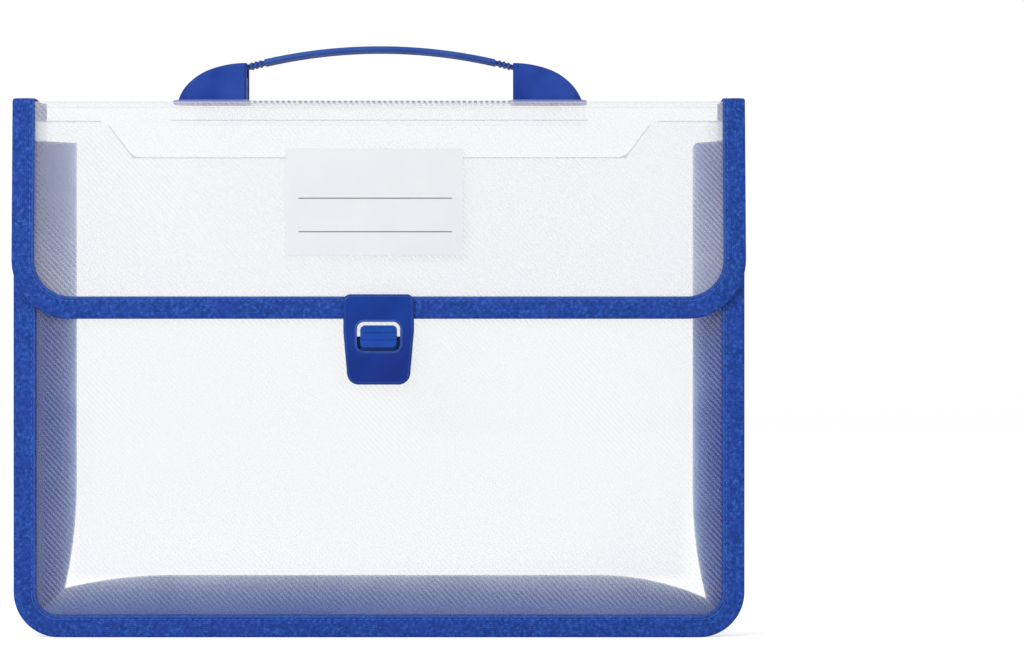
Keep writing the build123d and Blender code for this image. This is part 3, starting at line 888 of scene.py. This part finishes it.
def make_rear_tape(materials, chance, rear_axis):
    """The tape round the back panel, which bends over the rear crease on to the lid."""
    low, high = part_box("rear_binding")
    middle = (low.y + high.y) / 2
    upright = upright_frames(panel_route(low, high), middle, 1, stack_half)
    lid_point = (rear_axis.y - crease_setback, rear_axis.z)
    lid_end_y = lid_point[0] - lid_tape_end
    left = over_the_crease(low.x, lid_point, (middle, high.z), lid_end_y, sheet_half, stack_half)
    frames = both_creases(upright, left)
    tape = make_tape("rear_tape", frames, materials["tape"])
    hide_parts("rear_binding")
    stitches = make_stitches("rear_stitches", frames, materials["thread"], chance)
    for piece in (tape, stitches):
        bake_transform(piece)


def make_flap_tape(materials, chance, front_axis, rear_axis):
    """The tape along the lid's sides and round the flap, which bends over the front crease."""
    low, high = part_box("flap_binding")
    top_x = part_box("top_binding_left")[0].x
    corners = [(top_x, high.z), (low.x, low.z), (high.x, low.z), (-top_x, high.z)]
    upright = upright_frames(rounded_route(corners, flap_corner), front_axis.y, -1, sheet_half)
    lid_point = (front_axis.y + crease_setback, front_axis.z)
    lid_end_y = rear_axis.y - crease_setback - lid_tape_end - tape_end_gap
    flap_point = (front_axis.y, high.z)
    left = over_the_crease(top_x, lid_point, flap_point, lid_end_y, sheet_half, sheet_half)
    frames = both_creases(upright, left)
    tape = make_tape("flap_tape", frames, materials["tape"])
    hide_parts("flap_binding", "top_binding_left", "top_binding_right")
    stitches = make_stitches("flap_stitches", frames, materials["thread"], chance)
    for piece in (tape, stitches):
        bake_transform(piece)


def make_card_rules(materials):
    """The two ruled lines printed on the card."""
    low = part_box("label_card")[0]
    points, faces = [], []
    front = low.y - rule_proud
    box_faces = (
        (0, 2, 6, 4), (1, 5, 7, 3), (0, 4, 5, 1), (2, 3, 7, 6), (0, 1, 3, 2), (4, 6, 7, 5),
    )
    for height in rule_heights:
        base = len(points)
        for x in (low.x + rule_start, low.x + rule_start + rule_length):
            for z in (low.z + height - rule_width / 2, low.z + height + rule_width / 2):
                for y in (front, low.y):
                    points.append((x, y, z))
        for face in box_faces:
            faces.append(tuple(base + i for i in face))
    rules = new_object("card_rules", points, faces, materials["ink"], smooth=False)
    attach(rules, "card")


def make_spring(materials):
    """The clasp's round-wire coil, wound in the place of the model's spring."""
    low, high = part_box("catch_spring")
    middle = Vector(((low.x + high.x) / 2, (low.y + high.y) / 2, 0))
    radius = (high.x - low.x) / 2 - spring_wire
    foot, top = low.z + spring_wire, high.z - spring_wire
    steps, sides = spring_steps * spring_turns, spring_sides
    climb = (top - foot) / (math.tau * spring_turns * radius)
    points, faces = [], []
    for i in range(steps + 1):
        angle = math.tau * spring_turns * i / steps
        out = Vector((math.cos(angle), math.sin(angle), 0))
        ahead = Vector((-out.y, out.x, climb)).normalized()
        above = out.cross(ahead)
        centre = middle + out * radius + Vector((0, 0, foot + (top - foot) * i / steps))
        for j in range(sides):
            turn = math.tau * j / sides
            points.append(centre + (out * math.cos(turn) + above * math.sin(turn)) * spring_wire)
    for i in range(steps):
        for j in range(sides):
            k = (j + 1) % sides
            faces.append((i * sides + j, (i + 1) * sides + j, (i + 1) * sides + k, i * sides + k))
    faces.append(tuple(range(sides)))
    faces.append(tuple(steps * sides + j for j in range(sides - 1, -1, -1)))
    spring = new_object("button_spring", points, faces, materials["steel"])
    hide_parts("catch_spring")
    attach(spring, "case")
    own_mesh(spring)


def dress_nodes(frame, materials):
    """Gives each CAD node that stays its own finish."""
    finishes = {
        "back": ["back_panel"],
        "front": ["front_panel"],
        "flap": ["flap_panel"],
        "top": ["top_panel"],
        "side_film": ["gusset_left", "gusset_right"],
        "bottom_film": ["gusset_bottom"],
        "clasp": ["clasp_plate", "clasp_backing_plate", "catch_base", "catch_backing_plate"],
        "button": ["catch_button"],
        "cap": ["handle_cap_left", "handle_cap_right"],
        "strap": ["handle_strap"],
        "base": ["handle_base"],
        "clear": ["handle_stiffener", "handle_rivets"],
        "pocket": ["label_pocket"],
        "paper": ["label_card"],
        "steel": ["catch_rivets"],
    }
    for finish, names in finishes.items():
        for name in names:
            for holder in frame["nodes"][name].material_slots:
                holder.material = materials[finish]


def make_materials():
    """Every material, by the short name of its finish."""
    film_low, film_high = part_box("gusset_left")
    fold_y = (film_low.y + film_high.y) / 2
    flap_ribs = (flap_rib_pitch, flap_rib_slope, flap_rib_start)
    return {
        "back": ribbed_sheet("back_sheet", "Y", (0.02, 0.07), cover=thin_edge_cover),
        "front": ribbed_sheet(
            "front_sheet", "Y", (0.035, 0.105), line=scoop_line, calm=pressed_flat,
            milky=milky_corners, milkiness=0.55, greying_shade=painted_grey_by_the_bellows,
        ),
        "flap": ribbed_sheet(
            "flap_sheet", "Y", (0.1, 0.155), flap_ribs, milky=milky_corners, milkiness=0.12,
        ),
        "top": ribbed_sheet("top_sheet", "Z", (0.03, 0.1), cover=thin_edge_cover),
        "side_film": bellows_film("side_bellows_film", fold_y, side_film_shading),
        "bottom_film": bellows_film("bottom_bellows_film", fold_y, bottom_film_shading),
        "tape": woven_tape("blue_woven_tape"),
        "thread": twisted_thread("blue_thread"),
        "clasp": clasp_plastic("clasp_plastic"),
        "button": moulded("button_plastic", (8, 60, 154), (18, 74, 170), (74, 118, 206)),
        "cap": moulded(
            "cap_plastic", (27, 56, 143), (44, 76, 162), (86, 118, 200), satin, gloss=0.12,
        ),
        "strap": moulded(
            "strap_plastic", (50, 80, 156), (62, 92, 168), (90, 120, 196), matt, gloss=0.04,
        ),
        "base": base_plastic("base_plastic"),
        "clear": milky_plastic("clear_plastic", 0.04, 0.05, shade(236, 240, 246), lip_line),
        "pocket": milky_plastic("pocket_film", 0.06, 0.12, shade(240, 243, 244)),
        "paper": paper("card_paper"),
        "ink": printed_ink("card_ink"),
        "steel": drawn_steel("plated_steel"),
    }


def make_stage():
    """A pale sweep under and behind the case, with a glow that only the camera sees."""
    bend_start = stage_back - stage_bend
    profile = [(stage_front, 0.0), (bend_start, 0.0)]
    for i in range(1, stage_steps + 1):
        angle = math.pi / 2 * i / stage_steps
        y = bend_start + stage_bend * math.sin(angle)
        profile.append((y, stage_bend - stage_bend * math.cos(angle)))
    profile.append((stage_back, stage_top))
    points, faces = [], []
    for y, z in profile:
        points += [(-stage_half, y, z), (stage_half, y, z)]
    for i in range(len(profile) - 1):
        faces.append((2 * i, 2 * i + 1, 2 * i + 3, 2 * i + 2))
    graph = Graph("pale_sweep")
    strength = graph.math("MULTIPLY", graph.seen(), stage_glow)
    glow = graph.add("Emission", {"Color": (1, 1, 1, 1), "Strength": strength}).outputs[0]
    cloth = graph.add("BsdfDiffuse", {"Color": shade(244, 244, 245)}).outputs[0]
    material = graph.finish(graph.add("AddShader", {0: cloth, 1: glow}).outputs[0])
    sweep = new_object("sweep", points, faces, material)


def make_world():
    """Soft light from all round, which the camera sees as white."""
    graph = Graph("studio", world=True)
    strength = graph.ramp(graph.seen(), 0.0, 1.0, sky_light, 1.0, smooth=False)
    sky = graph.add("Background", {"Strength": strength}).outputs[0]
    bpy.context.scene.world = graph.finish(sky, "OutputWorld")


def make_lamp(name, place, target, watts):
    """A large square lamp at a place, turned to its target."""
    data = bpy.data.lights.new(name, "AREA")
    data.shape = "SQUARE"
    data.size = lamp_size
    data.energy = watts
    lamp = bpy.data.objects.new(name, data)
    lamp.location = place
    lamp.rotation_mode = "QUATERNION"
    lamp.rotation_quaternion = (Vector(target) - Vector(place)).to_track_quat("-Z", "Y")
    bpy.context.scene.collection.objects.link(lamp)


def make_camera():
    """Straight from the front, level, with the front sheet at a known size in the picture."""
    data = bpy.data.cameras.new("camera")
    data.sensor_width = sensor
    data.lens = sensor * camera_distance / (pixel * frame_width)
    camera = bpy.data.objects.new("camera", data)
    camera.location = (camera_x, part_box("front_panel")[0].y - camera_distance, camera_z)
    camera.rotation_euler = (math.pi / 2, 0, 0)
    bpy.context.scene.collection.objects.link(camera)
    bpy.context.scene.camera = camera


clear_scene()
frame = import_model()

scene = bpy.context.scene
scene.view_settings.view_transform = "Standard"
scene.cycles.transparent_max_bounces = 32
make_camera()
make_world()
for lamp in lamps:
    make_lamp(*lamp)
make_stage()

joints = {joint["name"]: Vector(joint["pos_m"]) for joint in frame["joints"] if "pos_m" in joint}
materials = make_materials()
dress_nodes(frame, materials)
make_front_tape(materials, random.Random(11))
make_rear_tape(materials, random.Random(12), joints["lid_hinge"])
make_flap_tape(materials, random.Random(13), joints["flap_hinge"], joints["lid_hinge"])
make_card_rules(materials)
make_spring(materials)
